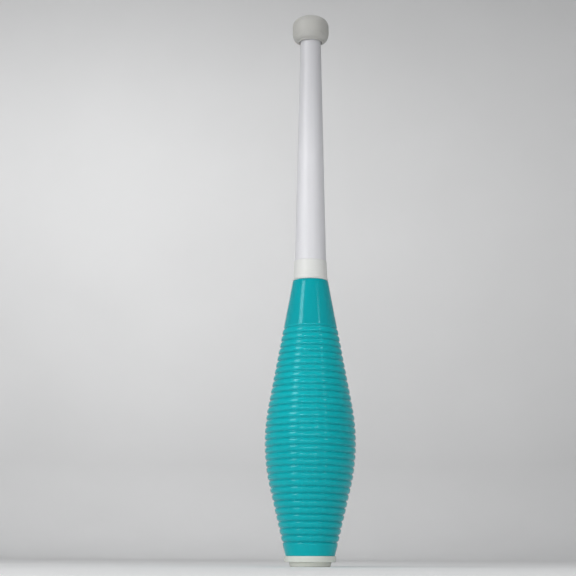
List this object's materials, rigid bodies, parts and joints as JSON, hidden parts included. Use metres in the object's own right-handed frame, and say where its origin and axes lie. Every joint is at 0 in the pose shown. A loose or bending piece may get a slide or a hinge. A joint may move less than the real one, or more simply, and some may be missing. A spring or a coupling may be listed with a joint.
{
  "type": "juggling club",
  "caption": "Juggling club with a ribbed, blow-moulded body, a tapered handle, a soft round knob and a two-tier end cap on a wooden core.",
  "frame": {"origin": "centre of the end cap's underside, which the club stands on", "axes": "+Z along the club's axis, from the end cap to the knob; X and Y are free, because the club is round"},
  "size_m": [0.083, 0.083, 0.52],
  "materials": {
    "body_plastic": "glossy moulded polyethylene",
    "collar_plastic": "satin, warm white",
    "handle_plastic": "smooth, slightly glossy, cool white",
    "knob_plastic": "soft, matte, warm grey-white",
    "cap_plastic": "soft, matte, warm white",
    "core_wood": "bare turned hardwood",
    "bush_plastic": "moulded, dark",
    "foam": "closed-cell foam",
    "screw_steel": "zinc-plated",
    "washer_steel": "zinc-plated"
  },
  "bodies": {
    "root": {"body_shell": "body_plastic", "neck_collar": "collar_plastic", "handle_sleeve": "handle_plastic", "knob": "knob_plastic", "end_cap": "cap_plastic", "core_dowel": "core_wood", "neck_bush": "bush_plastic", "handle_foam": "foam", "knob_screw": "screw_steel", "knob_washer": "washer_steel", "end_screw": "screw_steel", "end_washer": "washer_steel"}
  },
  "joints": []
}
